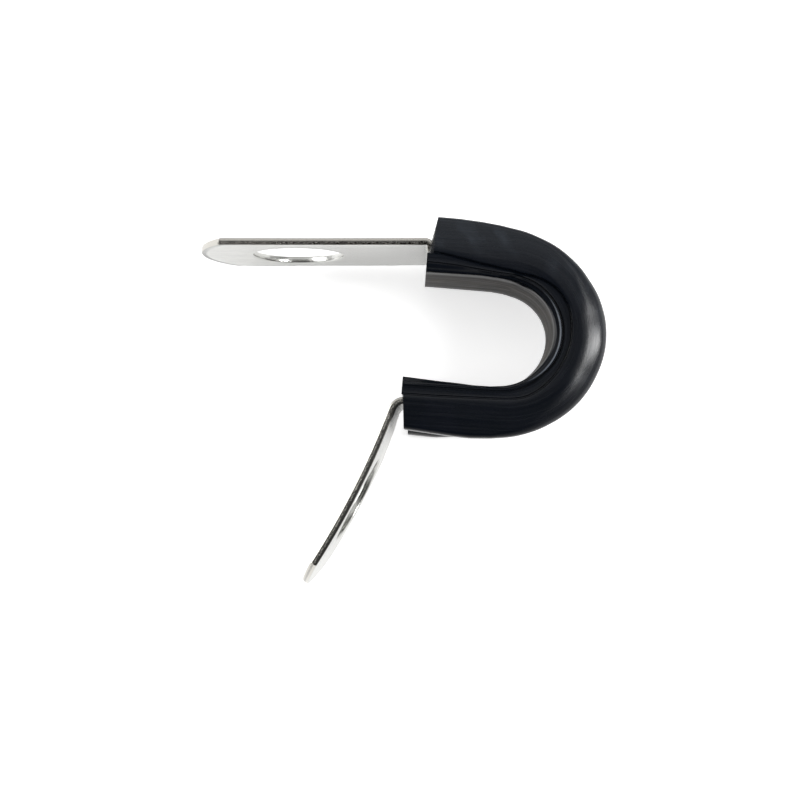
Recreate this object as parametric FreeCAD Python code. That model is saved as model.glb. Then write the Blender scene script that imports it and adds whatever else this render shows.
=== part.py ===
import FreeCAD, Part
import math
import os

# Rubber-lined P clip, opened, lying on the side face of its liner.
# Z runs along the clip's width and is the axis of the loop.
# The loop's centre is the origin, half way across the width.
# Looking along -Z, the upper tab points to -X and the lower tab down to the left.

# Strap: flat steel, its two tabs pierced and rounded at the tip
strap_width = 12.0
strap_thickness = 0.6
hole_diameter = 8.4
hole_to_tip = 9.0
tip_rise = 2.4

# Loop: a half turn round the held pipe and two arms that lean slightly
held_radius = 4.8
upper_arm_lean = 4.0
lower_arm_lean = 4.1
upper_arm_length = 6.69
lower_arm_length = 8.45

# Step that lifts the upper tab, with the bend radius on its hollow side
step_bend_inside = 0.15
step_rise = 0.23
upper_tab_length = 20.92

# Lower tab, bent outwards and slightly bowed
lower_bend_inside = 0.9
lower_bend_turn = 73.1
lower_tab_bow_radius = 75.0
lower_tab_length = 17.8

# Liner: a pad inside the loop, side walls, and lips over the strap's edges
pad_thickness = 1.5
side_wall = 1.5
lip_overlap = 2.5
slot_clearance = 0.03
lower_end_cover = 0.17
upper_end_lean = 4.0

# Height of the lips beyond the strap's middle, least round the crest of the loop
crest_height = 2.17
crest_upper_angle = 55.0
crest_lower_angle = 50.0
upper_shoulder_growth = 5.9
lower_shoulder_growth = 2.6
upper_lip_lean = 8.0
lower_lip_lean = 8.1
lip_outer_round = 1.6
lip_inner_round = 0.8

# Foot, groove, ledge and groove along the inner rim of each side face
foot_height = 0.35
foot_round = 0.3
ledge_height = 0.85
ledge_drop = 0.2
groove_width = 0.12
groove_depth = 0.45

# Worked out from the sizes above
liner_width = strap_width + 2 * side_wall
half_strap = strap_width / 2
half_liner = liner_width / 2
half_thickness = strap_thickness / 2
slot_half = half_thickness + slot_clearance
strap_radius = held_radius + pad_thickness + half_thickness
crest_radius = strap_radius + crest_height
pad_face = held_radius - strap_radius
lip_edge = half_strap - lip_overlap
tip_radius = (half_strap ** 2 + tip_rise ** 2) / (2 * tip_rise)
UPPER = 1
LOWER = -1


def vector_at(angle, length=1.0):
    radians = math.radians(angle)
    return FreeCAD.Vector(length * math.cos(radians), length * math.sin(radians), 0)


def walk(side, steps, offset=0.0):
    """Follow straight steps (length, 0) and bends (radius, turn) from the crest of the loop.

    A positive turn bends towards the loop. The offset moves the line outwards.
    """
    first_radius = steps[0][0]
    heading = side * 90.0
    point = FreeCAD.Vector(first_radius + offset, 0, 0)
    edges = []
    for size, turn in steps:
        if turn == 0:
            end = point + vector_at(heading, size)
            edges.append(Part.LineSegment(point, end).toShape())
        else:
            outward = vector_at(heading - side * 90.0)
            radius = size + math.copysign(1, turn) * offset
            if turn < 0:
                outward = outward * -1.0
            centre = point - outward * radius
            middle_normal = rotated(outward, side * turn / 2)
            end_normal = rotated(outward, side * turn)
            middle = centre + middle_normal * radius
            end = centre + end_normal * radius
            edges.append(Part.Arc(point, middle, end).toShape())
            heading += side * turn
        point = end
    return edges, point, heading


def rotated(vector, angle):
    cosine = math.cos(math.radians(angle))
    sine = math.sin(math.radians(angle))
    return FreeCAD.Vector(vector.x * cosine - vector.y * sine, vector.x * sine + vector.y * cosine, 0)


def open_outline(upper_steps, lower_steps, offset):
    """Edges from the upper end round the loop to the lower end, with the two end points."""
    upper_edges, upper_end, _ = walk(UPPER, upper_steps, offset)
    lower_edges, lower_end, _ = walk(LOWER, lower_steps, offset)
    return upper_edges + lower_edges, upper_end, lower_end


def band(inner, outer, low, high):
    """Solid between two open outlines, each given as upper steps, lower steps and offset."""
    inner_edges, inner_upper, inner_lower = open_outline(*inner)
    outer_edges, outer_upper, outer_lower = open_outline(*outer)
    ends = [Part.LineSegment(inner_upper, outer_upper).toShape(),
            Part.LineSegment(inner_lower, outer_lower).toShape()]
    ordered = Part.__sortEdges__(inner_edges + outer_edges + ends)
    face = Part.Face(Part.Wire(ordered))
    face.translate(FreeCAD.Vector(0, 0, low))
    return face.extrude(FreeCAD.Vector(0, 0, high - low))


# Centreline of the strap as steps away from the crest of the loop
upper_path = [
    (strap_radius, 90.0 - upper_arm_lean),
    (upper_arm_length, 0),
    (step_bend_inside + half_thickness, upper_arm_lean - 90.0),
    (step_rise, 0),
    (step_bend_inside + half_thickness, 90.0),
    (upper_tab_length, 0),
]
lower_path = [
    (strap_radius, 90.0 + lower_arm_lean),
    (lower_arm_length, 0),
    (lower_bend_inside + half_thickness, -lower_bend_turn),
    (lower_tab_bow_radius, math.degrees(lower_tab_length / lower_tab_bow_radius)),
]


def tab_place(side, steps, back):
    """Point on the centreline at a distance back from the tip, and the heading there."""
    size, turn = steps[-1]
    if turn == 0:
        last = (size - back, 0)
    else:
        last = (size, turn - math.degrees(back / size))
    _, point, heading = walk(side, steps[:-1] + [last])
    return point, heading


def tab_frame(shape, point, heading):
    """Turn a shape made along +X with its thickness along Y onto the tab."""
    shape.rotate(FreeCAD.Vector(0, 0, 0), FreeCAD.Vector(0, 0, 1), heading)
    shape.translate(point)
    return shape


def hole_cutter(side, steps):
    depth = 4 * strap_thickness
    point, heading = tab_place(side, steps, hole_to_tip)
    cutter = Part.makeCylinder(hole_diameter / 2, depth, FreeCAD.Vector(0, -depth / 2, 0), FreeCAD.Vector(0, 1, 0))
    return tab_frame(cutter, point, heading)


def tip_cutter(side, steps):
    """What the rounded tip leaves out of the square end of the strap."""
    depth = 8 * strap_thickness
    point, heading = tab_place(side, steps, 0.0)
    block = Part.makeBox(tip_rise + strap_thickness, depth, 2 * strap_width,
                         FreeCAD.Vector(-tip_rise, -depth / 2, -strap_width))
    disc = Part.makeCylinder(tip_radius, depth, FreeCAD.Vector(-tip_radius, -depth / 2, 0), FreeCAD.Vector(0, 1, 0))
    return tab_frame(block.cut(disc), point, heading)


def make_strap():
    strap = band((upper_path, lower_path, -half_thickness), (upper_path, lower_path, half_thickness),
                 -half_strap, half_strap)
    for side, steps in ((UPPER, upper_path), (LOWER, lower_path)):
        strap = strap.cut(hole_cutter(side, steps))
        strap = strap.cut(tip_cutter(side, steps))
    return strap.removeSplitter()


# Outer edge of the liner's side walls, low at the crest and higher along the arms
wall_upper_path = [
    (crest_radius, crest_upper_angle),
    (crest_radius + upper_shoulder_growth, 90.0 - upper_lip_lean - crest_upper_angle),
    (upper_arm_length + crest_radius, 0),
]
wall_lower_path = [
    (crest_radius, crest_lower_angle),
    (crest_radius + lower_shoulder_growth, 90.0 + lower_lip_lean - crest_lower_angle),
    (lower_arm_length + crest_radius, 0),
]
arm_upper_path = [upper_path[0], (upper_arm_length + crest_radius, 0)]
arm_lower_path = [lower_path[0], (lower_arm_length + crest_radius, 0)]


def arm_line(offset):
    return (arm_upper_path, arm_lower_path, offset)


def wall_line(offset):
    return (wall_upper_path, wall_lower_path, offset)


def end_cutter(side, steps, distance, lean):
    """Block beyond one end of the liner, its face square to the arm or leaning from it."""
    _, point, heading = walk(side, [steps[0], (distance, 0)])
    block = Part.makeBox(2 * crest_radius, 2 * strap_radius, 2 * liner_width,
                         FreeCAD.Vector(0, -strap_radius, -liner_width))
    return tab_frame(block, point, heading + lean)


def make_liner():
    liner = band(arm_line(pad_face), wall_line(0), -half_liner, half_liner)
    channel = band(arm_line(-slot_half), wall_line(crest_height), -lip_edge, lip_edge)
    liner = liner.cut(channel)

    # Foot, ledge and the grooves beside them on both side faces
    ledge_line = pad_face + ledge_height
    foot_line = pad_face + foot_height
    for face in (1, -1):
        levels = sorted((face * (half_liner - ledge_drop), face * liner_width))
        liner = liner.cut(band(arm_line(2 * pad_face), arm_line(ledge_line), *levels))
        levels = sorted((face * (half_liner - groove_depth), face * liner_width))
        for line in (ledge_line, foot_line):
            liner = liner.cut(band(arm_line(line), arm_line(line + groove_width), *levels))

    # Both ends are cut off straight
    liner = liner.cut(end_cutter(UPPER, arm_upper_path, upper_arm_length, -upper_end_lean))
    liner = liner.cut(end_cutter(LOWER, arm_lower_path, lower_arm_length + lower_end_cover, lower_arm_lean))
    liner = liner.removeSplitter()

    liner = round_long_edges(liner, wall_line(0), half_liner, lip_outer_round)
    liner = round_long_edges(liner, wall_line(0), lip_edge, lip_inner_round)
    liner = round_long_edges(liner, arm_line(pad_face), half_liner - ledge_drop, foot_round)

    # The slot that the strap sits in follows it out past both ends
    slot = band((upper_path, lower_path, -slot_half), (upper_path, lower_path, slot_half),
                -half_strap - slot_clearance, half_strap + slot_clearance)
    return liner.cut(slot).removeSplitter()


def round_long_edges(solid, outline, level, radius):
    """Round the edges of a solid that follow one outline at one height, on both sides."""
    edges, _, _ = open_outline(*outline)
    line = Part.Wire(Part.__sortEdges__(edges))
    chosen = []
    for edge in solid.Edges:
        box = edge.BoundBox
        if abs(abs(box.ZMin) - level) > 0.001 or box.ZLength > 0.001:
            continue
        middle = edge.valueAt((edge.FirstParameter + edge.LastParameter) / 2)
        flat = Part.Vertex(middle.x, middle.y, 0)
        if line.distToShape(flat)[0] < 0.001:
            chosen.append(edge)
    return solid.makeFillet(radius, chosen)


os.makedirs("parts", exist_ok=True)
for name, shape in (("steel_strap", make_strap()), ("rubber_liner", make_liner())):
    if len(shape.Solids) == 1:
        shape = shape.Solids[0]
    shape.exportStep("parts/" + name + ".step")
    box = shape.BoundBox
    print(name, "valid", shape.isValid(), "solids", len(shape.Solids), "volume", round(shape.Volume, 2),
          "box", [round(value, 2) for value in (box.XMin, box.YMin, box.ZMin, box.XMax, box.YMax, box.ZMax)])
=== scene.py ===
import math

import bmesh
import bpy
from mathutils import Matrix, Vector


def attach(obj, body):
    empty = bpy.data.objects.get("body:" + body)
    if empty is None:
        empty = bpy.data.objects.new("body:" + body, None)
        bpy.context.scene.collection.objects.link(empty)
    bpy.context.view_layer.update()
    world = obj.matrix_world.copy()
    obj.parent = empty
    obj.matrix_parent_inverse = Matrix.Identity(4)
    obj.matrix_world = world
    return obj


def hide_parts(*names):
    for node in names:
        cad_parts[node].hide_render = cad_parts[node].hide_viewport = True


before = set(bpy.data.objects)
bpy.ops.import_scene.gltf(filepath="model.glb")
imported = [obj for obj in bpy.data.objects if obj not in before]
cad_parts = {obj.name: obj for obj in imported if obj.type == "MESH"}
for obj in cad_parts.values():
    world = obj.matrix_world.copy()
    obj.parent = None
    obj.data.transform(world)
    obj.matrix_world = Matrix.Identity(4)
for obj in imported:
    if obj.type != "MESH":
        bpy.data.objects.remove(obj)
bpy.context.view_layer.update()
print("packed clip loaded:", ", ".join(sorted(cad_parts)))

# Each piece is modelled in millimetres and out straight, then bent along its route and brought down to
# metres. While straight, X runs along the strip, Y outwards from the loop and Z across the width.
millimetre = 0.001
sharpFrom = 32.0  # degrees between two faces, from which their edge stays sharp

# The loop and its two arms, along the strap's middle line, and how far the liner goes past the lower arm
loopSizes = {"upperArm": 6.69, "radius": 6.6, "turn": -180.1, "lowerArm": 8.45, "linerPast": 0.17}

# Routes are runs (length) and bends (radius, turn in degrees).
# The strap's goes from the tip of the upper tab, round the loop, to the tip of the lower tab.
strapRoute = {
    "start": (-28.002, 8.179),
    "heading": 0.0,
    "steps": [
        ("run", 20.92),  # upper tab and its step
        ("bend", 0.45, -90.0),
        ("run", 0.23),
        ("bend", 0.45, 86.0),
        ("run", loopSizes["upperArm"]),
        ("bend", loopSizes["radius"], loopSizes["turn"]),
        ("run", loopSizes["lowerArm"]),
        ("bend", 1.2, 73.1),  # lower tab, slightly bowed
        ("bend", 75.0, -13.598),
    ],
}
# The liner follows the loop and both arms only
linerRoute = {
    "start": (-6.213, 7.051),
    "heading": -4.0,
    "steps": [
        ("run", loopSizes["upperArm"]),
        ("bend", loopSizes["radius"], loopSizes["turn"]),
        ("run", loopSizes["lowerArm"] + loopSizes["linerPast"]),
    ],
}


def stepLength(step):
    if step[0] == "run":
        return step[1]
    return math.radians(abs(step[2])) * step[1]


def routeLength(route):
    return sum(stepLength(step) for step in route["steps"])


def guideCurve(name, route):
    # a bezier through the ends of every run and bend, with handles that make true arcs
    mostTurn = 30.0  # degrees in one piece of an arc
    place = Vector((*route["start"], 0.0))
    heading = math.radians(route["heading"])
    knots = [[place.copy(), 1.0, 1.0, heading]]
    for step in route["steps"]:
        pieces = 1 if step[0] == "run" else max(1, math.ceil(abs(step[2]) / mostTurn))
        for _ in range(pieces):
            ahead = Vector((math.cos(heading), math.sin(heading), 0.0))
            if step[0] == "run":
                reach = step[1] / 3.0
                place = place + ahead * step[1]
            else:
                turn = math.radians(step[2]) / pieces
                reach = 4.0 / 3.0 * math.tan(abs(turn) / 4.0) * step[1]
                centre = place + Vector((-ahead.y, ahead.x, 0.0)) * math.copysign(step[1], turn)
                place = centre + Matrix.Rotation(turn, 3, "Z") @ (place - centre)
                heading += turn
            knots[-1][2] = reach
            knots.append([place.copy(), reach, 1.0, heading])
    data = bpy.data.curves.new(name, "CURVE")
    data.dimensions = "3D"
    data.resolution_u = 24
    data.use_path = True
    spline = data.splines.new("BEZIER")
    spline.bezier_points.add(len(knots) - 1)
    for point, (at, back, forth, angle) in zip(spline.bezier_points, knots):
        along = Vector((math.cos(angle), math.sin(angle), 0.0))
        point.handle_left_type = "FREE"
        point.handle_right_type = "FREE"
        point.co = at
        point.handle_left = at - along * back
        point.handle_right = at + along * forth
    guide = bpy.data.objects.new(name, data)
    bpy.context.scene.collection.objects.link(guide)
    return guide


def onlyActive(piece):
    bpy.ops.object.select_all(action="DESELECT")
    piece.select_set(True)
    bpy.context.view_layer.objects.active = piece


def selectPoints(piece, test):
    # selects the vertices that pass the test, and nothing else
    bpy.ops.mesh.select_mode(type="VERT")
    bpy.ops.mesh.select_all(action="DESELECT")
    mesh = bmesh.from_edit_mesh(piece.data)
    for vertex in mesh.verts:
        if test(vertex.co):
            vertex.select_set(True)
    mesh.select_flush_mode()
    bmesh.update_edit_mesh(piece.data)


def turnSelected(degrees, axis, centre):
    # with no window, transform.rotate turns the other way
    bpy.ops.transform.rotate(value=math.radians(-degrees), orient_axis=axis, center_override=centre)


def applyModifier(piece, name, kind, **settings):
    onlyActive(piece)
    modifier = piece.modifiers.new(name, kind)
    for key, value in settings.items():
        setattr(modifier, key, value)
    bpy.ops.object.modifier_apply(modifier=name)


def drawOutline(name, corners):
    # one vertex is extruded from corner to corner, and the loop is closed with a face
    bpy.ops.object.select_all(action="DESELECT")
    bpy.ops.mesh.primitive_plane_add(size=1.0, location=(0.0, 0.0, 0.0))
    piece = bpy.context.active_object
    piece.name = name
    piece.data.name = name
    bpy.ops.object.mode_set(mode="EDIT")
    bpy.ops.mesh.select_all(action="SELECT")
    bpy.ops.mesh.merge(type="CENTER")
    bpy.ops.transform.translate(value=corners[0])
    for before, after in zip(corners, corners[1:]):
        step = Vector(after) - Vector(before)
        bpy.ops.mesh.extrude_region_move(TRANSFORM_OT_translate={"value": step})
    bpy.ops.mesh.select_all(action="SELECT")
    bpy.ops.mesh.edge_face_add()
    return piece


def cutAcross(piece, places, axis):
    # straight cuts through the whole piece, at places along one axis
    normal = tuple(1.0 if i == axis else 0.0 for i in range(3))
    for place in places:
        bpy.ops.mesh.select_all(action="SELECT")
        bpy.ops.mesh.bisect(plane_co=tuple(place * n for n in normal), plane_no=normal)


def keepFlatPlace(piece):
    # remembers where each point was while straight, so that grain and wear follow the bends
    store = piece.data.attributes.new("flatPlace", "FLOAT_VECTOR", "POINT")
    for vertex in piece.data.vertices:
        store.data[vertex.index].vector = vertex.co


def bendAlong(piece, guide):
    applyModifier(piece, "bend", "CURVE", object=guide, deform_axis="POS_X")
    bpy.data.objects.remove(guide)


def finishPiece(piece, bodyName, nodeName):
    onlyActive(piece)
    piece.scale = (millimetre,) * 3
    bpy.ops.object.transform_apply(location=True, rotation=True, scale=True)
    bpy.ops.object.mode_set(mode="EDIT")
    bpy.ops.mesh.select_all(action="SELECT")
    bpy.ops.mesh.normals_make_consistent(inside=False)
    bpy.ops.object.mode_set(mode="OBJECT")
    bpy.ops.object.shade_smooth_by_angle(angle=math.radians(sharpFrom))
    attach(piece, bodyName)
    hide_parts(nodeName)
    print(piece.name, "done:", len(piece.data.polygons), "faces")


def evenSteps(start, end, spacing):
    count = max(1, round((end - start) / spacing))
    return [start + (end - start) * i / count for i in range(count + 1)]


# Rubber liner: a channel section with a pad, a slot for the strap and two lips. Rows run the length of it.
# Each is (name, out from the strap's middle, height above the liner's middle).
linerSizes = {
    "side": 7.5,
    "slotHalf": 0.33,
    "slotDepth": 6.03,
    "lipEdge": 3.5,
    "lipHeight": 2.17,
    "bendRound": (2.5, 1.45),  # the lips' outer corner in the bend, inwards and down
    "armRound": 0.4,  # the same corner along the arms
    "roundRows": 16,
    "innerRound": 0.8,
    "innerRows": 6,
    "stationSpacing": 0.4,
    "rim": [
        ("bulge", -2.36, 6.3), ("bulge", -2.35, 6.62), ("pad", -2.31, 6.86), ("pad", -2.24, 6.97),
        ("toe", -2.0, 7.0), ("foot", -1.97, 7.12), ("foot", -1.93, 7.19), ("foot", -1.88, 7.23),
        ("groove", -1.86, 7.23), ("groove", -1.82, 7.0), ("groove", -1.72, 7.0), ("groove", -1.67, 7.19),
        ("ledge", -1.62, 7.18), ("ledge", -1.56, 7.19), ("step", -1.52, 7.16), ("step", -1.48, 7.08),
        ("step", -1.42, 7.1), ("wall", -1.38, 7.4), ("wall", -1.34, 7.48), ("wall", -1.2, 7.5),
        ("belly", -0.35, 7.5),
    ],
    # tables of pairs are (place along the liner, value there)
    # the foot is lower on the upper arm, where the pad's edge is rounded over
    "footRise": [(0.0, -0.1), (5.0, -0.1), (9.0, 0.0), (36.1, 0.0)],
    # how far each row lies out from its place above, on the side seen
    "nearMoves": {
        "bulge": [(0.0, 0.55), (4.0, 0.55), (6.0, 0.4), (7.0, 0.25), (8.6, 0.05), (21.0, 0.0), (22.5, 0.05),
                  (25.0, 0.3), (28.5, 0.65), (30.0, 0.65), (31.5, 0.55), (33.0, 0.5), (36.1, 0.3)],
        "pad": [(0.0, 0.55), (4.0, 0.55), (6.0, 0.4), (7.0, 0.3), (8.9, 0.15), (10.6, 0.02), (14.0, 0.04),
                (17.0, 0.1), (21.0, 0.04), (22.5, 0.05), (25.0, 0.3), (28.5, 0.65), (36.1, 0.65)],
        "foot": [(0.0, 0.45), (4.0, 0.4), (6.0, 0.25), (8.0, 0.1), (10.6, 0.05), (12.3, 0.12), (15.0, 0.07),
                 (24.0, 0.07), (27.0, 0.38), (30.0, 0.48), (36.1, 0.5)],
        "groove": [(0.0, 0.8), (2.2, 0.65), (3.5, 0.5), (5.8, 0.25), (8.0, 0.12), (10.5, 0.12),
                   (13.0, 0.15), (20.0, 0.2), (22.5, 0.1), (25.0, 0.3), (28.0, 0.5), (36.1, 0.55)],
        "ledge": [(0.0, 1.4), (1.0, 1.25), (2.6, 0.95), (4.1, 0.65), (5.8, 0.35), (7.8, 0.05), (8.8, 0.15),
                  (10.0, 0.35), (12.0, 0.65), (14.0, 0.75), (16.0, 0.6), (20.0, 0.5), (22.0, 0.6),
                  (25.0, 0.85), (27.0, 0.8), (33.0, 0.95), (36.1, 0.95)],
        "belly": [(0.0, 0.8), (4.0, 0.25), (8.0, 0.0), (20.0, -0.02), (25.0, 0.35), (36.1, 0.45)],
        "lip": [(0.0, 0.95), (2.0, 0.9), (4.0, 0.75), (5.6, 0.55), (7.2, 0.25), (8.6, 0.0), (11.0, -0.12),
                (12.9, -0.12), (14.0, 0.0), (15.7, 0.12), (17.5, 0.15), (19.6, 0.12), (21.2, 0.15),
                (24.0, 0.22), (25.4, 0.35), (26.7, 0.5), (28.2, 0.7), (30.0, 0.8), (31.5, 0.75),
                (36.1, 0.4)],
    },
    # the same on the side that lies on the floor
    "farMoves": {
        "pad": [(0.0, 1.05), (5.6, 0.95), (7.8, 0.7), (10.7, 0.65), (13.0, 0.6), (15.0, 0.5), (16.8, 0.35),
                (19.0, 0.15), (21.5, 0.0), (36.1, 0.0)],
        "ledge": [(0.0, 1.4), (4.0, 1.2), (9.0, 0.9), (12.0, 0.8), (16.0, 0.6), (22.0, 0.6), (36.1, 0.9)],
        "belly": [(0.0, 0.8), (4.0, 0.6), (9.0, 0.2), (14.0, 0.0), (21.0, 0.0), (25.0, 0.2), (36.1, 0.35)],
        "lip": [(0.0, 1.05), (2.0, 1.0), (4.0, 0.85), (5.6, 0.7), (7.2, 0.35), (8.6, 0.1), (10.3, 0.0),
                (25.0, 0.05), (27.0, 0.1), (29.0, 0.3), (33.0, 0.7), (36.1, 0.6)],
    },
    # rows that move as another does; the slot's rows stay where they are
    "nearFollows": {"toe": "foot", "step": "ledge", "wall": "ledge"},
    "farFollows": {"bulge": "pad", "toe": "pad", "foot": "pad", "groove": "ledge", "step": "ledge",
                   "wall": "ledge"},
    # 1 where the lips' outer corner is small, 0 where it is stretched round in the bend
    "cornerShare": [(0.0, 1.0), (9.0, 1.0), (12.0, 0.75), (14.0, 0.3), (15.5, 0.0), (20.0, 0.0),
                    (23.0, 0.35), (26.0, 0.8), (28.0, 1.0), (36.1, 1.0)],
    # how far parts of the cut ends stand in or out along the liner
    "upperEnd": {"lean": -3.8, "wall": -0.15, "slot": -0.15, "pad": -0.7, "farPad": -0.2},
    "lowerEnd": {"rim": 0.18, "wall": -0.22, "farWall": -0.25},
}


def alongTable(table, x):
    for (x0, y0), (x1, y1) in zip(table, table[1:]):
        if x <= x1:
            return y0 + (y1 - y0) * max(0.0, (x - x0) / (x1 - x0))
    return table[-1][1]


def quarterRound(y, z, acrossY, acrossZ, start, end, count):
    # points of a quarter ellipse whose square corner would be at y, z
    points = []
    for i in range(count + 1):
        angle = math.radians(start + (end - start) * i / count)
        points.append((y - acrossY + acrossY * math.cos(angle), z + acrossZ * math.sin(angle)))
    return points


def linerRows(sizes):
    # the rows of one half, and how far each row of the lips' outer corner moves to make it small
    top, side = sizes["lipHeight"], sizes["side"]
    deep, high = sizes["bendRound"]
    wide = quarterRound(top, side - high, deep, high, 90.0, 0.0, sizes["roundRows"])
    small = sizes["armRound"]
    tight = quarterRound(top, side - small, small, small, 90.0, 0.0, sizes["roundRows"])
    small = sizes["innerRound"]
    inner = quarterRound(top, sizes["lipEdge"] + small, small, small, 0.0, -90.0, sizes["innerRows"])
    rows = list(sizes["rim"])
    rows += [("lip", y, z) for y, z in wide + inner]
    rows += [
        ("slot", sizes["slotHalf"], sizes["lipEdge"]),
        ("slot", sizes["slotHalf"], sizes["slotDepth"]),
        ("slot", -sizes["slotHalf"], sizes["slotDepth"]),
    ]
    toTight = {(y, z): (newY - y, newZ - z) for (y, z), (newY, newZ) in zip(wide, tight)}
    return rows, toTight


def slidePoints(piece, direction, moves):
    # moves vertices by their own distances, through weight groups and displacements, one for each sign
    for sign in (1.0, -1.0):
        chosen = {index: sign * move for index, move in moves.items() if sign * move > 0.0001}
        if not chosen:
            continue
        most = max(chosen.values())
        group = piece.vertex_groups.new(name="slide")
        for index, move in chosen.items():
            group.add([index], move / most, "REPLACE")
        applyModifier(piece, "slide", "DISPLACE", direction=direction, strength=sign * most, mid_level=0.0,
                      vertex_group=group.name)
    piece.vertex_groups.clear()


def wanderRows(piece, rows, toTight, sizes):
    # the rim wanders, the lips grow along the arms and their corner tightens there
    rowAt = {(round(y, 3), round(z, 3)): (name, toTight.get((y, z), (0.0, 0.0))) for name, y, z in rows}
    outMoves = {}
    upMoves = {}
    for vertex in piece.data.vertices:
        x, y, z = vertex.co
        name, (cornerOut, cornerUp) = rowAt[(round(y, 3), round(abs(z), 3))]
        seen = z > 0.0
        follows = sizes["nearFollows"] if seen else sizes["farFollows"]
        table = (sizes["nearMoves"] if seen else sizes["farMoves"]).get(follows.get(name, name))
        share = alongTable(sizes["cornerShare"], x)
        outMoves[vertex.index] = cornerOut * share + (alongTable(table, x) if table else 0.0)
        upMoves[vertex.index] = math.copysign(cornerUp * share, z)
        if seen and name == "foot":
            upMoves[vertex.index] += alongTable(sizes["footRise"], x)
    slidePoints(piece, "Y", outMoves)
    slidePoints(piece, "Z", upMoves)


def pushPoints(piece, test, distance):
    selectPoints(piece, test)
    bpy.ops.transform.translate(value=(distance, 0.0, 0.0))


def shapeEnds(piece, sizes, length):
    # the walls lean back at the upper end, where the pad stands out past them
    near = 0.01
    end = sizes["upperEnd"]
    wallFrom = sizes["slotHalf"] + 0.05
    padFrom = -0.1
    selectPoints(piece, lambda at: abs(at.x) < near and at.y > wallFrom)
    turnSelected(end["lean"], "Z", (0.0, 0.0, 0.0))
    bpy.ops.transform.translate(value=(end["wall"], 0.0, 0.0))
    pushPoints(piece, lambda at: abs(at.x) < near and padFrom < at.y < wallFrom, end["slot"])
    pushPoints(piece, lambda at: abs(at.x) < near and at.y < padFrom, end["pad"])
    pushPoints(piece, lambda at: at.x < end["pad"] + near and at.z < 0.0, end["farPad"])
    # at the lower end the rim stands out and the walls stand in
    end = sizes["lowerEnd"]
    rimTo = -0.4
    wallFrom = 0.5
    pushPoints(piece, lambda at: at.x > length - near and at.y < rimTo, end["rim"])
    pushPoints(piece, lambda at: at.x > length - near and at.y > wallFrom, end["wall"])
    wallEnd = length + end["wall"]
    pushPoints(piece, lambda at: at.x > wallEnd - near and at.y > wallFrom and at.z < 0.0, end["farWall"])


def makeLiner(sizes):
    length = routeLength(linerRoute)
    rows, toTight = linerRows(sizes)
    outline = [(y, z) for _, y, z in rows]
    outline += [(y, -z) for y, z in reversed(outline)]
    piece = drawOutline("liner", [(0.0, y, z) for y, z in outline])
    stations = evenSteps(0.0, length, sizes["stationSpacing"])
    bpy.ops.mesh.select_all(action="SELECT")
    for before, after in zip(stations, stations[1:]):
        bpy.ops.mesh.extrude_region_move(TRANSFORM_OT_translate={"value": (after - before, 0.0, 0.0)})
    bpy.ops.object.mode_set(mode="OBJECT")
    wanderRows(piece, rows, toTight, sizes)
    onlyActive(piece)
    bpy.ops.object.mode_set(mode="EDIT")
    shapeEnds(piece, sizes, length)
    bpy.ops.object.mode_set(mode="OBJECT")
    keepFlatPlace(piece)
    bendAlong(piece, guideCurve("linerGuide", linerRoute))
    return piece


# Steel strap: blanked from strip, so both tabs have rounded tips, a hole and a rolled edge
strapSizes = {
    "width": 12.0,
    "thickness": 0.65,
    "holeDiameter": 8.4,
    "holePoints": 72,
    "holeToTip": 9.0,
    "tipRise": 2.4,
    "tipPoints": 28,
    "edgeRound": 0.16,
    "edgeSegments": 4,
    "stationSpacing": 0.5,
    "tightSpacing": 0.075,  # where a bend's radius is under the next value
    "tightRadius": 2.0,
    "acrossSpacing": 1.0,
    # the upper tab turns in its own plane, twists and lifts, a little at each place from root to tip
    "upperTurn": {"from": 20.5, "to": 15.5, "degrees": 2.7, "axis": "Y"},
    "upperTwist": {"from": 18.0, "to": 8.0, "degrees": -1.4, "axis": "X"},
    "upperLift": {"from": 17.0, "to": 9.0, "degrees": -1.6, "axis": "Z"},
    # the lower tab twists where it leaves the liner
    "lowerTwist": {"from": 58.7, "to": 64.0, "degrees": 1.7, "axis": "X"},
}


def tipArc(atX, direction, sizes):
    # points of a rounded tip from one edge of the strip to the other
    count = sizes["tipPoints"]
    half = sizes["width"] / 2.0
    rise = sizes["tipRise"]
    radius = (half ** 2 + rise ** 2) / (2.0 * rise)
    reach = math.asin(half / radius)
    points = []
    for i in range(count + 1):
        angle = -reach + 2.0 * reach * i / count
        x = atX + direction * (radius * math.cos(angle) - radius)
        points.append((x, 0.0, radius * math.sin(angle)))
    return points


def turnOutwards(piece, turn, pivotHeight):
    # turns everything beyond each place by its share of the angle
    count = 10
    towardsTip = 1.0 if turn["to"] > turn["from"] else -1.0
    for place in evenSteps(turn["from"], turn["to"], abs(turn["to"] - turn["from"]) / (count - 1)):
        selectPoints(piece, lambda at: (at.x - place) * towardsTip > 0.001)
        turnSelected(turn["degrees"] / count, turn["axis"], (place, 0.0, pivotHeight))


def strapCuts(sizes):
    # cuts where the strip bends, close together in the tight bends
    cuts = []
    place = 0.0
    for step in strapRoute["steps"]:
        tight = step[0] == "bend" and step[1] < sizes["tightRadius"]
        spacing = sizes["tightSpacing"] if tight else sizes["stationSpacing"]
        cuts += evenSteps(place, place + stepLength(step), spacing)[1:]
        place += stepLength(step)
    return cuts[:-1]


def markEdges(piece, sizes, holes):
    # the outer edges take the second material; the hole walls keep the first
    holeReach = sizes["holeDiameter"] / 2.0 + 0.3
    flatFrom = 0.6  # share of a face's normal that points straight out, from which it isn't an edge
    mesh = bmesh.from_edit_mesh(piece.data)
    for face in mesh.faces:
        middle = face.calc_center_median()
        outside = min(math.hypot(middle.x - at, middle.z) for at in holes) > holeReach
        upright = abs(face.normal.y) < flatFrom
        face.material_index = 1 if outside and upright else 0
    bmesh.update_edit_mesh(piece.data)


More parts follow.
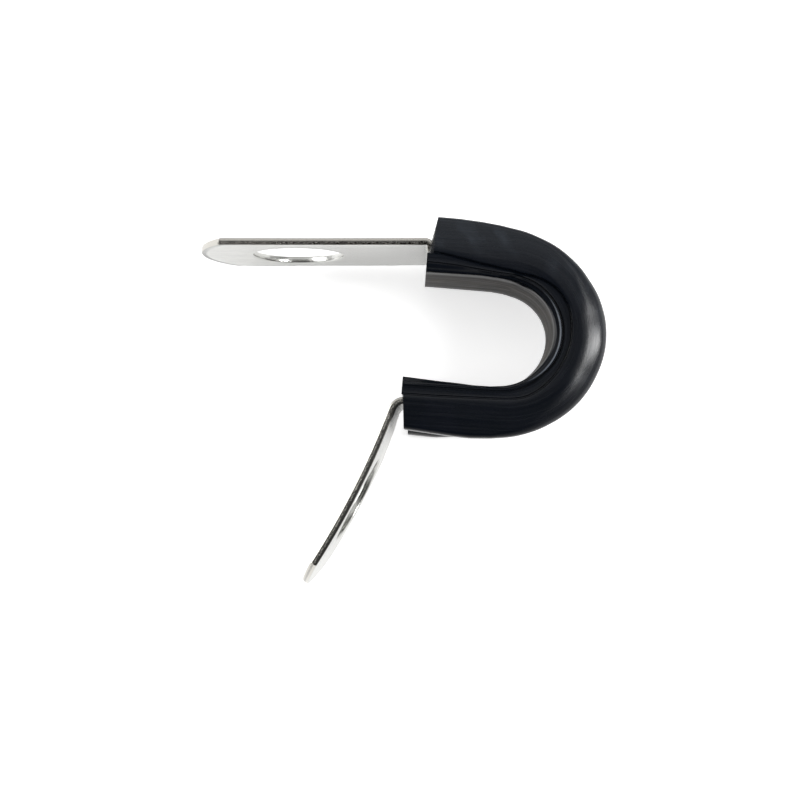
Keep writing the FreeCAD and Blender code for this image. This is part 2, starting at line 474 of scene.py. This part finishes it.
def makeStrap(sizes):
    length = routeLength(strapRoute)
    holes = (sizes["holeToTip"], length - sizes["holeToTip"])
    half = sizes["width"] / 2.0
    upperTip = tipArc(0.0, -1, sizes)
    lowerTip = tipArc(length, 1, sizes)
    piece = drawOutline("strap", upperTip + list(reversed(lowerTip)))
    bpy.ops.mesh.delete(type="ONLY_FACE")
    for at in holes:
        bpy.ops.mesh.primitive_circle_add(vertices=sizes["holePoints"], radius=sizes["holeDiameter"] / 2.0,
                                          fill_type="NOTHING", location=(at, 0.0, 0.0),
                                          rotation=(math.radians(90.0), 0.0, 0.0))
    bpy.ops.mesh.select_all(action="SELECT")
    bpy.ops.mesh.fill()
    bpy.ops.mesh.select_all(action="SELECT")
    bpy.ops.transform.translate(value=(0.0, -sizes["thickness"] / 2.0, 0.0))
    bpy.ops.mesh.extrude_region_move(TRANSFORM_OT_translate={"value": (0.0, sizes["thickness"], 0.0)})
    bpy.ops.mesh.select_all(action="SELECT")
    bpy.ops.mesh.normals_make_consistent(inside=False)
    bpy.ops.mesh.dissolve_limited(angle_limit=math.radians(0.5))
    bpy.ops.object.mode_set(mode="OBJECT")
    applyModifier(piece, "rolledEdge", "BEVEL", width=sizes["edgeRound"], segments=sizes["edgeSegments"],
                  limit_method="ANGLE", angle_limit=math.radians(60.0), use_clamp_overlap=False)
    onlyActive(piece)
    bpy.ops.object.mode_set(mode="EDIT")
    cutAcross(piece, strapCuts(sizes), 0)
    cutAcross(piece, evenSteps(-half, half, sizes["acrossSpacing"])[1:-1], 2)
    markEdges(piece, sizes, holes)
    bpy.ops.object.mode_set(mode="OBJECT")
    keepFlatPlace(piece)
    bpy.ops.object.mode_set(mode="EDIT")
    turnOutwards(piece, sizes["upperTurn"], 0.0)
    turnOutwards(piece, sizes["upperTwist"], half)
    turnOutwards(piece, sizes["upperLift"], 0.0)
    turnOutwards(piece, sizes["lowerTwist"], half)
    bpy.ops.object.mode_set(mode="OBJECT")
    bendAlong(piece, guideCurve("strapGuide", strapRoute))
    return piece


def linear(hexColour):
    # sRGB hex to the linear values that shaders take
    values = [int(hexColour[i:i + 2], 16) / 255.0 for i in (1, 3, 5)]
    return tuple(v / 12.92 if v <= 0.04045 else ((v + 0.055) / 1.055) ** 2.4 for v in values) + (1.0,)


def addNode(tree, kind, inputs, **settings):
    # inputs go by order or by name; each is a value, a node, or a node with the name of its output
    node = tree.nodes.new("ShaderNode" + kind)
    for name, value in settings.items():
        setattr(node, name, value)
    pairs = inputs.items() if isinstance(inputs, dict) else enumerate(inputs)
    for socket, value in pairs:
        source = value[0] if isinstance(value, tuple) else value
        if isinstance(source, bpy.types.Node):
            output = value[1] if isinstance(value, tuple) else 0
            tree.links.new(source.outputs[output], node.inputs[socket])
        else:
            node.inputs[socket].default_value = value
    return node


def newMaterial(name):
    material = bpy.data.materials.new(name)
    material.use_nodes = True
    material.node_tree.nodes.clear()
    return material, material.node_tree


def flatPattern(tree, along, across, lean=0.0, detail=2.0):
    # noise whose grains are this many millimetres along and across the strip
    # it leans by the same angle on the side faces and on the flat ones
    angle = math.radians(lean)
    place = addNode(tree, "Attribute", {}, attribute_name="flatPlace")
    turned = addNode(tree, "Mapping", {"Vector": (place, "Vector"), "Rotation": (0.0, angle, angle)})
    sized = addNode(tree, "Mapping", {"Vector": turned, "Scale": (1.0 / along, 1.0 / across, 1.0 / across)})
    return addNode(tree, "TexNoise", {"Vector": sized, "Scale": 1.0, "Detail": detail})


def softBand(tree, source, start, full, fade, end):
    # 1 from full to fade, falling softly to 0 at start and at end
    rise = addNode(tree, "MapRange", [source, start, full])
    fall = addNode(tree, "MapRange", [source, end, fade])
    return addNode(tree, "Math", [rise, fall], operation="MULTIPLY")


# In the looks below, Along, Out and Up are where a mark lies while the piece is straight, in millimetres:
# two places are where it begins and where it is full, and four are a band that fades again.
# Grains are (along, across), and a Share is the part of the noise's range that goes from none to all.
rubberLook = {
    "colour": "#04080f", "smudged": "#070b13", "smudge": (3.0, 3.0), "smudgeShare": (0.38, 0.62),
    # the upper arm's greying is partly dust and partly painted sheen
    "dustAndSheen": "#15191f", "dustAndSheenAlong": (23.0, 11.0), "dustAndSheenOut": (-0.5, 1.2),
    "scuffed": "#343a42", "scuff": (7.0, 1.3), "scuffLean": 42.0, "scuffShare": (0.45, 0.7),
    "scuffMost": 0.6, "patch": (5.0, 2.5), "patchShare": (0.42, 0.62),
    "worn": "#17120c", "wornPale": "#33291c", "wornOut": (-0.8, -1.0), "wornUp": (6.9, 4.5),
    # painted highlight: the foot's crest is painted paler where it catches the lamps
    "paintedCrestHighlight": "#646971", "crestHighlightOut": (-1.93, -1.89, -1.8, -1.76), "crestHighlightUp": (7.0, 7.1),
    "crestHighlightAlong": (11.0, 15.0, 21.0, 25.0),
    "dieLine": (9.0, 0.24), "dieShare": (0.3, 0.7), "dieDepth": 0.004,
    "grain": (0.2, 0.2), "grainDepth": 0.003,
    "smooth": 0.22, "rough": 0.3, "wornRougher": 0.58,
    "refraction": 1.5, "shine": 0.42,
}


def epdmRubber(look):
    # EPDM rubber, extruded and cut to length: blue-black and satin, with fine lines along it and scuffs
    material, tree = newMaterial("epdmRubberExtruded")
    place = addNode(tree, "Attribute", {}, attribute_name="flatPlace")
    parts = addNode(tree, "SeparateXYZ", [(place, "Vector")])
    smudgeNoise = flatPattern(tree, *look["smudge"], detail=4.0)
    smudges = addNode(tree, "MapRange", [smudgeNoise, *look["smudgeShare"]])
    colour = addNode(tree, "MixRGB", [smudges, linear(look["colour"]), linear(look["smudged"])])
    # partly dust, partly painted sheen: the upper arm's side face is painted greyer for its dust and for
    # the overhead light it mirrors, most of all towards its outer edge
    onArm = addNode(tree, "MapRange", [(parts, "X"), *look["dustAndSheenAlong"]])
    onWall = addNode(tree, "MapRange", [(parts, "Y"), *look["dustAndSheenOut"]])
    dustAndSheen = addNode(tree, "Math", [onArm, onWall], operation="MULTIPLY")
    colour = addNode(tree, "MixRGB", [dustAndSheen, colour, linear(look["dustAndSheen"])])
    # soft scuffs lie across it in patches
    scuffNoise = flatPattern(tree, *look["scuff"], look["scuffLean"])
    streaks = addNode(tree, "MapRange", [scuffNoise, *look["scuffShare"], 0.0, look["scuffMost"]])
    patches = addNode(tree, "MapRange", [flatPattern(tree, *look["patch"]), *look["patchShare"]])
    scuffs = addNode(tree, "Math", [streaks, patches], operation="MULTIPLY")
    scuffed = addNode(tree, "Math", [scuffs, dustAndSheen], operation="MULTIPLY")
    colour = addNode(tree, "MixRGB", [scuffed, colour, linear(look["scuffed"])])
    # the pad's face is worn matt and browner by the pipe
    height = addNode(tree, "Math", [(parts, "Z")], operation="ABSOLUTE")
    inward = addNode(tree, "MapRange", [(parts, "Y"), *look["wornOut"]])
    between = addNode(tree, "MapRange", [height, *look["wornUp"]])
    worn = addNode(tree, "Math", [inward, between], operation="MULTIPLY")
    wornColour = addNode(tree, "MixRGB", [smudges, linear(look["worn"]), linear(look["wornPale"])])
    colour = addNode(tree, "MixRGB", [worn, colour, wornColour])
    # painted highlight: the foot's crest is painted paler along the bend, on the side seen, where it
    # catches the lamps
    crest = softBand(tree, (parts, "Y"), *look["crestHighlightOut"])
    crestUp = addNode(tree, "MapRange", [(parts, "Z"), *look["crestHighlightUp"]])
    crestSeen = addNode(tree, "Math", [crest, crestUp], operation="MULTIPLY")
    alongBend = softBand(tree, (parts, "X"), *look["crestHighlightAlong"])
    paintedCrestHighlight = addNode(tree, "Math", [crestSeen, alongBend], operation="MULTIPLY")
    colour = addNode(tree, "MixRGB", [paintedCrestHighlight, colour, linear(look["paintedCrestHighlight"])])
    # die lines are finer on the real rubber; these are as coarse as they need to show
    dieLines = flatPattern(tree, *look["dieLine"], detail=3.0)
    grain = flatPattern(tree, *look["grain"])
    satin = addNode(tree, "MapRange", [dieLines, *look["dieShare"], look["smooth"], look["rough"]])
    wornLines = addNode(tree, "Math", [worn, dieLines], operation="MULTIPLY")
    roughness = addNode(tree, "Math", [wornLines, look["wornRougher"], satin], operation="MULTIPLY_ADD")
    lineBump = addNode(tree, "Bump", {"Height": dieLines, "Distance": look["dieDepth"] * millimetre})
    grainBump = addNode(tree, "Bump", {"Height": grain, "Distance": look["grainDepth"] * millimetre,
                                       "Normal": lineBump})
    shader = addNode(tree, "BsdfPrincipled", {"Base Color": colour, "Roughness": roughness,
                                              "Normal": grainBump, "IOR": look["refraction"],
                                              "Specular IOR Level": look["shine"]})
    addNode(tree, "OutputMaterial", {"Surface": shader})
    return material


steelLook = {
    "colour": "#d4d4d0", "dull": "#c8c8c4", "mottle": (2.4, 1.2), "mottleShare": (0.35, 0.65),
    # painted reflection: the upper tab's root is painted brighter
    "paintedReflection": "#ebebe8", "paintedReflectionAlong": (5.0, 19.0, 22.0, 24.0),
    # painted shade: the dark rim round the upper tip
    "line": "#1d1b19", "lineCentre": 8.7, "lineRadius": (8.15, 8.35), "lineAlong": (3.6, 2.4),
    "lineUp": (4.0, -1.0), "lineLeast": 0.25,
    "rollLine": (6.0, 0.2), "rollShare": (0.3, 0.7), "rollDepth": 0.0008,
    "smooth": 0.2, "rough": 0.25,
}


def brightSteel(look):
    # mild steel strip, rolled and bright zinc plated: a soft mirror with fine lines along it
    material, tree = newMaterial("zincPlatedSteelRolled")
    place = addNode(tree, "Attribute", {}, attribute_name="flatPlace")
    parts = addNode(tree, "SeparateXYZ", [(place, "Vector")])
    mottleNoise = flatPattern(tree, *look["mottle"], detail=5.0)
    mottle = addNode(tree, "MapRange", [mottleNoise, *look["mottleShare"]])
    colour = addNode(tree, "MixRGB", [mottle, linear(look["colour"]), linear(look["dull"])])
    # painted reflection: the upper tab's face is painted brightest towards its root, where it mirrors the
    # floor beside the liner
    paintedReflection = softBand(tree, (parts, "X"), *look["paintedReflectionAlong"])
    colour = addNode(tree, "MixRGB", [paintedReflection, colour, linear(look["paintedReflection"])])
    # painted shade: a thin dark band follows the upper tip's round, mostly on its far half, where the edge
    # lies in shadow
    fromCentre = addNode(tree, "Mapping", {"Vector": (place, "Vector"), "Scale": (1.0, 0.0, 1.0),
                                           "Location": (-look["lineCentre"], 0.0, 0.0)})
    distance = addNode(tree, "VectorMath", [fromCentre], operation="LENGTH")
    outer = addNode(tree, "MapRange", [(distance, "Value"), *look["lineRadius"]])
    farHalf = addNode(tree, "MapRange", [(parts, "Z"), *look["lineUp"], look["lineLeast"], 1.0])
    atTip = addNode(tree, "MapRange", [(parts, "X"), *look["lineAlong"]])
    outerFar = addNode(tree, "Math", [outer, farHalf], operation="MULTIPLY")
    line = addNode(tree, "Math", [outerFar, atTip], operation="MULTIPLY")
    colour = addNode(tree, "MixRGB", [line, colour, linear(look["line"])])
    # roll lines are finer on the real strip; these are as coarse as they need to show
    rollLines = flatPattern(tree, *look["rollLine"], detail=3.0)
    roughness = addNode(tree, "MapRange", [rollLines, *look["rollShare"], look["smooth"], look["rough"]])
    bump = addNode(tree, "Bump", {"Height": rollLines, "Distance": look["rollDepth"] * millimetre})
    shader = addNode(tree, "BsdfPrincipled", {"Base Color": colour, "Metallic": 1.0, "Roughness": roughness,
                                              "Normal": bump})
    addNode(tree, "OutputMaterial", {"Surface": shader})
    return material


edgeLook = {
    # the dark band of the sheared edge is partly where it tore and partly painted shade
    "smoothPart": "#d4d1ca", "tornAndShadedPart": "#77746e", "pit": "#262422",
    "tornAndShadedOut": (-0.28, -0.22, -0.1, -0.02), "tornAlong": (2.2, 2.5),
    "tipShare": 0.6, "tipFades": (3.0, 13.0),
    "lowerTab": (40.0, 50.0), "lowerTabShift": -0.13, "lowerTabShare": 0.3,
    "legAlong": (20.4, 20.6, 22.4, 22.6), "legOut": (0.06, -0.02),
    "pits": (0.22, 0.12), "pitShare": (0.47, 0.55), "pitDepth": 0.02,
    "smooth": 0.18, "rough": 0.3,
}


def shearedEdge(look):
    # the same steel where the strip was sheared: burnished at both rims, rough and pitted between them
    # where it tore; that band is also painted darker as shade where the rounded edge faces away from the
    # lamps
    material, tree = newMaterial("zincPlatedSteelSheared")
    place = addNode(tree, "Attribute", {}, attribute_name="flatPlace")
    parts = addNode(tree, "SeparateXYZ", [(place, "Vector")])
    # the dark band lies nearer the middle on the lower tab, where the painted shade falls on that edge
    shift = addNode(tree, "MapRange", [(parts, "X"), *look["lowerTab"], 0.0, look["lowerTabShift"]])
    level = addNode(tree, "Math", [(parts, "Y"), shift], operation="ADD")
    band = softBand(tree, level, *look["tornAndShadedOut"])
    # it starts past the rounded tip, and is fainter towards that and on the lower tab
    after = addNode(tree, "MapRange", [(parts, "X"), *look["tornAlong"]])
    deeper = addNode(tree, "MapRange", [(parts, "X"), *look["tipFades"], look["tipShare"], 1.0])
    fainter = addNode(tree, "MapRange", [(parts, "X"), *look["lowerTab"], 1.0, look["lowerTabShare"]])
    upperShare = addNode(tree, "Math", [after, deeper], operation="MULTIPLY")
    share = addNode(tree, "Math", [upperShare, fainter], operation="MULTIPLY")
    tornAndShadedBand = addNode(tree, "Math", [band, share], operation="MULTIPLY")
    # painted shade: the dark band reaches the inner rim where the upper tab steps down
    legAlong = softBand(tree, (parts, "X"), *look["legAlong"])
    legOut = addNode(tree, "MapRange", [(parts, "Y"), *look["legOut"]])
    leg = addNode(tree, "Math", [legAlong, legOut], operation="MULTIPLY")
    tornAndShaded = addNode(tree, "Math", [tornAndShadedBand, leg], operation="MAXIMUM")
    # pits are finer on the real edge; these are as coarse as they need to show
    pits = addNode(tree, "MapRange", [flatPattern(tree, *look["pits"], detail=3.0), *look["pitShare"]])
    tornPits = addNode(tree, "Math", [tornAndShaded, pits], operation="MULTIPLY")
    colour = addNode(tree, "MixRGB", [tornAndShaded, linear(look["smoothPart"]), linear(look["tornAndShadedPart"])])
    colour = addNode(tree, "MixRGB", [tornPits, colour, linear(look["pit"])])
    roughness = addNode(tree, "MapRange", [tornAndShaded, 0.0, 1.0, look["smooth"], look["rough"]])
    bump = addNode(tree, "Bump", {"Height": tornPits, "Distance": look["pitDepth"] * millimetre},
                   invert=True)
    shader = addNode(tree, "BsdfPrincipled", {"Base Color": colour, "Metallic": 1.0, "Roughness": roughness,
                                              "Normal": bump})
    addNode(tree, "OutputMaterial", {"Surface": shader})
    return material


liner = makeLiner(linerSizes)
liner.data.materials.append(epdmRubber(rubberLook))
finishPiece(liner, "root", "rubber_liner")

strap = makeStrap(strapSizes)
strap.data.materials.append(brightSteel(steelLook))
strap.data.materials.append(shearedEdge(edgeLook))
finishPiece(strap, "root", "steel_strap")

# Floor under the liner's side face, in metres, with a glow of its own that is weaker in reflections
floorSizes = {
    "size": 3.0, "level": -linerSizes["side"] * millimetre, "shade": "#e6e6e6",
    "lift": 0.64, "reflectedLift": 0.32, "farLift": 1.0, "far": (0.12, 0.45),
}


def makeFloor(sizes):
    bpy.ops.object.select_all(action="DESELECT")
    bpy.ops.mesh.primitive_plane_add(size=sizes["size"], location=(0.0, 0.0, sizes["level"]))
    floor = bpy.context.active_object
    floor.name = "floor"
    material, tree = newMaterial("whitePaperMatt")
    paper = addNode(tree, "BsdfDiffuse", {"Color": linear(sizes["shade"])})
    rays = addNode(tree, "LightPath", {})
    mirrored = addNode(tree, "Math", [(rays, "Is Glossy Ray"), (rays, "Is Transmission Ray")],
                       operation="ADD")
    weaker = addNode(tree, "Math", [mirrored, sizes["reflectedLift"]], operation="MULTIPLY")
    # plain white far from the clip, where the lamps don't reach
    place = addNode(tree, "TexCoord", {})
    distance = addNode(tree, "VectorMath", [(place, "Object")], operation="LENGTH")
    lift = addNode(tree, "MapRange", [(distance, "Value"), *sizes["far"], sizes["lift"], sizes["farLift"]])
    direct = addNode(tree, "Math", [lift, (rays, "Is Camera Ray")], operation="MULTIPLY")
    strength = addNode(tree, "Math", [direct, weaker], operation="ADD")
    glow = addNode(tree, "Emission", {"Strength": strength})
    lit = addNode(tree, "AddShader", [paper, glow])
    addNode(tree, "OutputMaterial", {"Surface": lit})
    floor.data.materials.append(material)


makeFloor(floorSizes)

# Soft studio light: places and sizes in metres, powers in watts
lampSizes = [
    {"name": "ceiling", "power": 0.9, "size": (0.8, 0.5),
     "from": (-0.05, 0.347, 0.5), "aim": (-0.05, 0.347, 0.0)},
    {"name": "left", "power": 0.9, "size": (0.3, 0.25),
     "from": (-0.32, 0.06, 0.24), "aim": (0.0, 0.0, 0.0)},
    {"name": "right", "power": 1.55, "size": (0.085, 0.32),
     "from": (0.325, -0.002, 0.27), "aim": (0.0, 0.0, 0.0)},
]


def makeLamp(sizes):
    light = bpy.data.lights.new(sizes["name"], "AREA")
    light.shape = "RECTANGLE"
    light.size, light.size_y = sizes["size"]
    light.energy = sizes["power"]
    lamp = bpy.data.objects.new(sizes["name"], light)
    bpy.context.scene.collection.objects.link(lamp)
    lamp.location = sizes["from"]
    towards = Vector(sizes["aim"]) - Vector(sizes["from"])
    lamp.rotation_euler = towards.to_track_quat("-Z", "Y").to_euler()


for lampSize in lampSizes:
    makeLamp(lampSize)

# Studio walls: lighter low down than overhead, and plain white where the camera looks past the floor.
# The change lies between two heights on the dome of the sky, where 0 is the horizon and 1 the top.
worldSizes = {"low": 0.48, "overhead": 0.024, "change": (0.3, 0.8)}


def makeWorld(sizes):
    world = bpy.data.worlds.new("studio")
    bpy.context.scene.world = world
    world.use_nodes = True
    tree = world.node_tree
    tree.nodes.clear()
    way = addNode(tree, "TexCoord", {})
    height = addNode(tree, "SeparateXYZ", [(way, "Generated")])
    shade = addNode(tree, "MapRange", [(height, "Z"), *sizes["change"], sizes["low"], sizes["overhead"]],
                    interpolation_type="SMOOTHSTEP")
    rays = addNode(tree, "LightPath", {})
    strength = addNode(tree, "Math", [shade, (rays, "Is Camera Ray")], operation="MAXIMUM")
    light = addNode(tree, "Background", {"Color": linear("#ffffff"), "Strength": strength})
    addNode(tree, "OutputWorld", {"Surface": light})


makeWorld(worldSizes)

# Camera: nearly straight above, at the photograph's angle, placed in millimetres and turned in degrees
cameraSizes = {"place": (-6.721, -11.545, 121.001), "turn": (2.7745, 1.3204, -0.0680), "lens": 58.5}
cameraData = bpy.data.cameras.new("camera")
cameraData.lens = cameraSizes["lens"]
cameraData.clip_start = 0.005
cameraData.clip_end = 10.0
camera = bpy.data.objects.new("camera", cameraData)
bpy.context.scene.collection.objects.link(camera)
camera.location = Vector(cameraSizes["place"]) * millimetre
camera.rotation_euler = [math.radians(angle) for angle in cameraSizes["turn"]]
bpy.context.scene.camera = camera
bpy.context.scene.view_settings.view_transform = "Standard"
print("floor, lamps and camera done")
